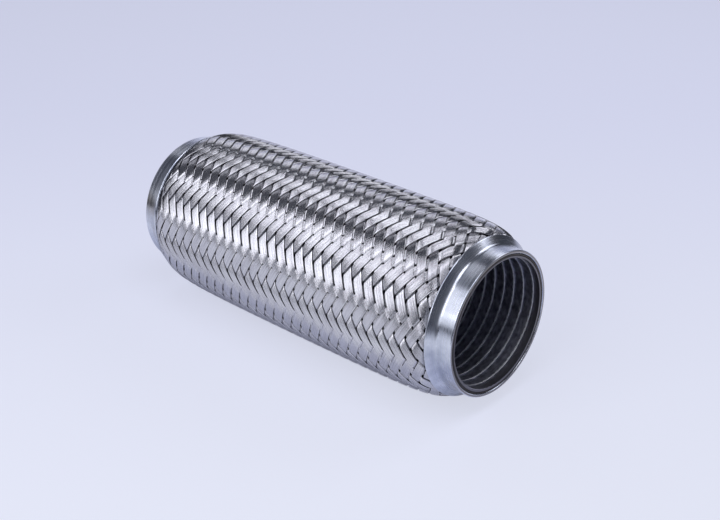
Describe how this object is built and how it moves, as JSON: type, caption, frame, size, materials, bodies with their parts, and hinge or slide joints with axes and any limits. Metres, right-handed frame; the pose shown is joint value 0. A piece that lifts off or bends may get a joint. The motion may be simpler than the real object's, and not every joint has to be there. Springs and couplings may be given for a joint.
{
  "type": "exhaust flex pipe",
  "caption": "Flexible exhaust pipe: a braided steel sleeve over a bellows and an interlocked liner, with a flared end cap at each end for welding.",
  "frame": {"origin": "centre of the lower end cap's rim, where the pipe stands", "axes": "+Z along the bore, from the lower end cap to the upper one; the pipe is alike at both ends, and +X passes through a vertex of the caps"},
  "size_m": [0.0838, 0.0838, 0.2],
  "materials": {
    "cap_steel": "spun sheet steel, satin with a few bright and darker bands from turning",
    "braid_steel": "drawn stainless wire laid in flat bundles, bright along the wires",
    "bellows_steel": "thin rolled stainless sheet",
    "liner_steel": "rolled strip, dull between its bright folded seams"
  },
  "bodies": {
    "root": {"lower_end_cap": "cap_steel", "upper_end_cap": "cap_steel", "outer_braid": "braid_steel", "bellows": "bellows_steel", "interlock_liner": "liner_steel"}
  },
  "joints": []
}
